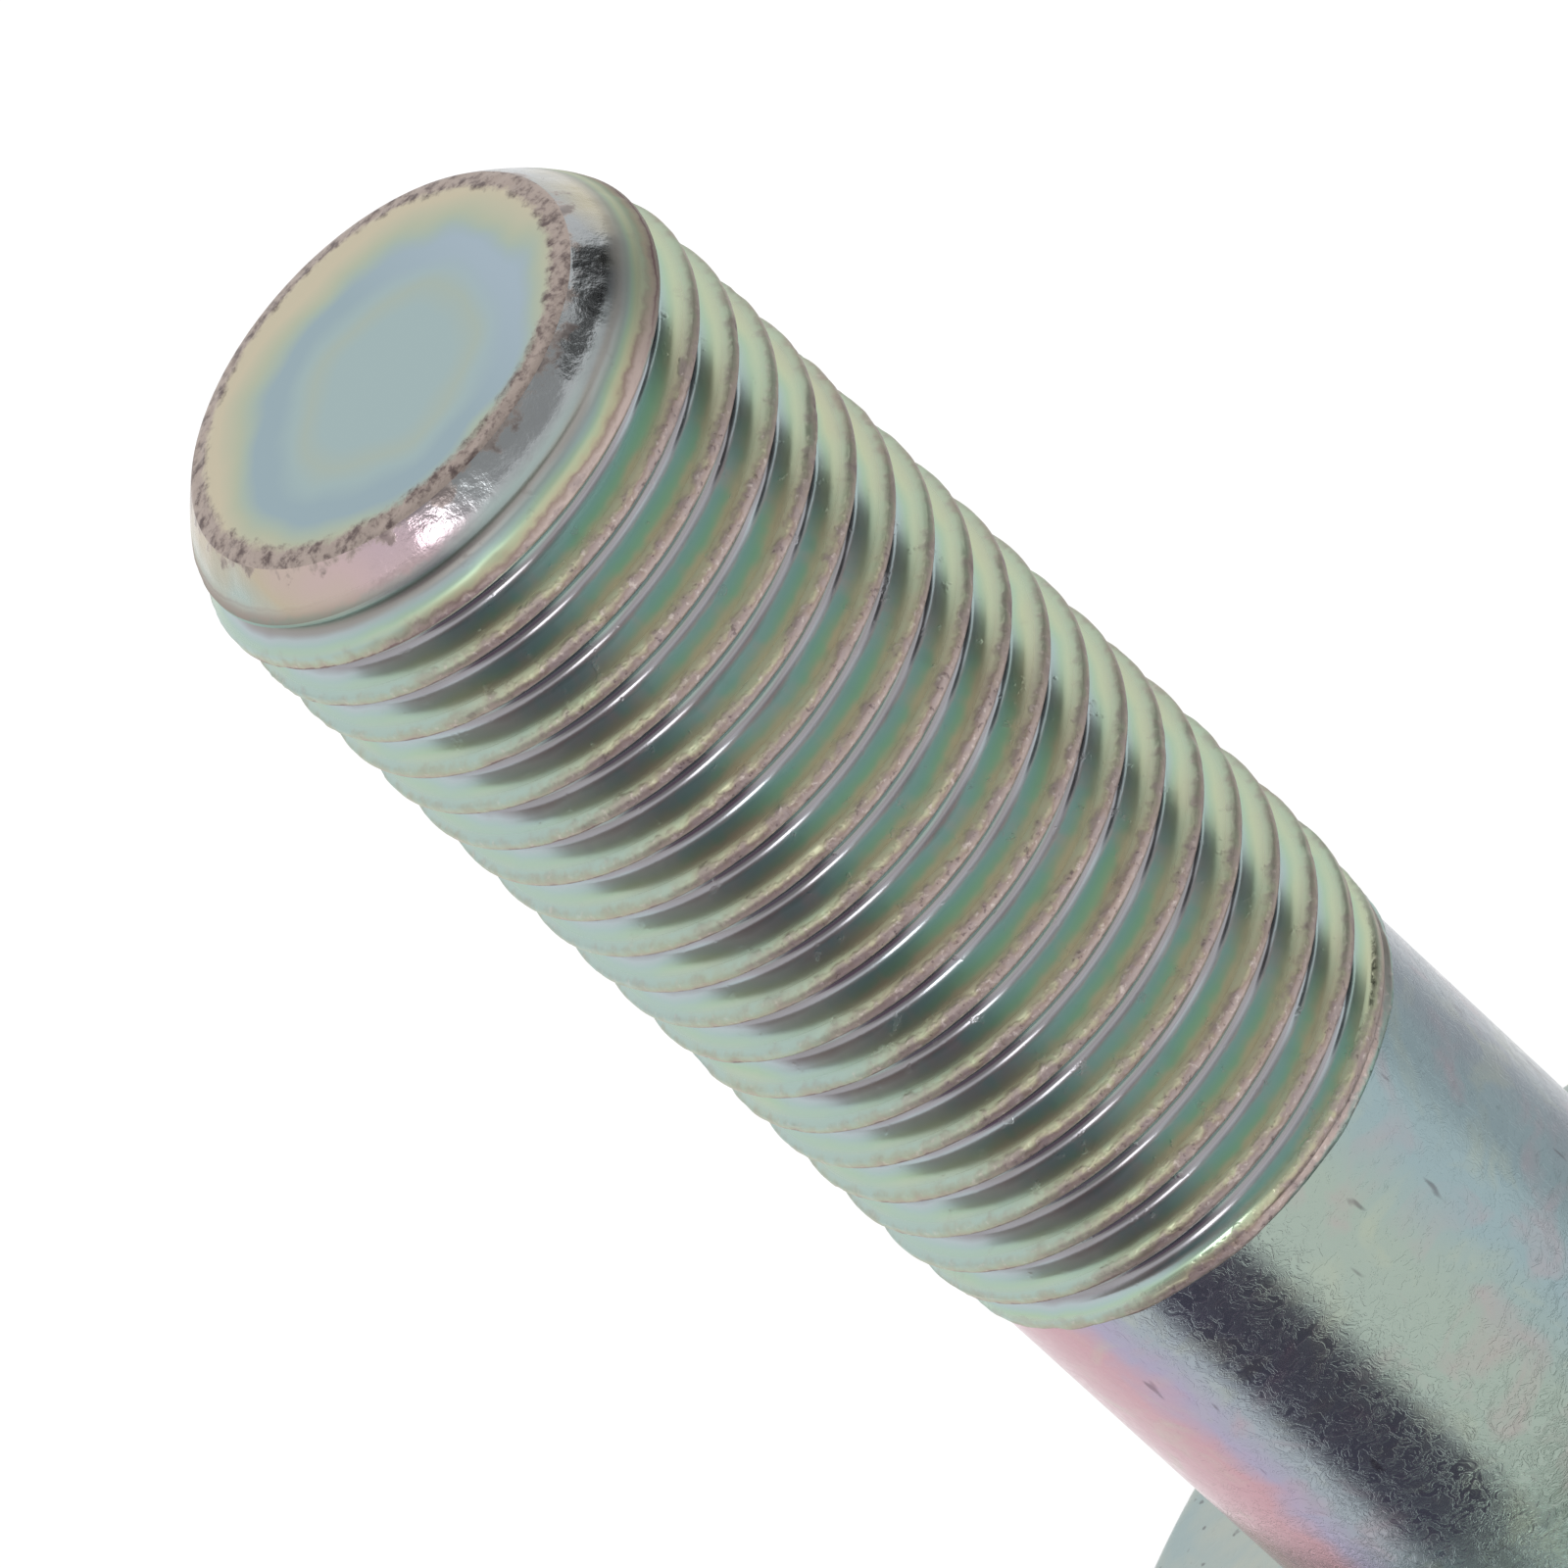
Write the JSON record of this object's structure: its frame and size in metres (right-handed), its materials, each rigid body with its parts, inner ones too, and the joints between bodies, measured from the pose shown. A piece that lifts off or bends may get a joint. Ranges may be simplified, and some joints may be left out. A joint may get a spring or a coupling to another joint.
{
  "type": "camshaft bolt",
  "caption": "Flanged hexagon bolt with a fine rolled thread, a plain shank and a wide round flange, for clamping a sprocket to a camshaft.",
  "frame": {"origin": "centre of the head's flat top, which the bolt stands on", "axes": "+Z along the bolt's axis, from the head to the pointed end; +X through a corner of the hexagon"},
  "size_m": [0.03, 0.03, 0.054],
  "materials": {
    "plated_steel": "zinc plated, iridescent passivation"
  },
  "bodies": {
    "root": {"camshaft_bolt": "plated_steel"}
  },
  "joints": []
}
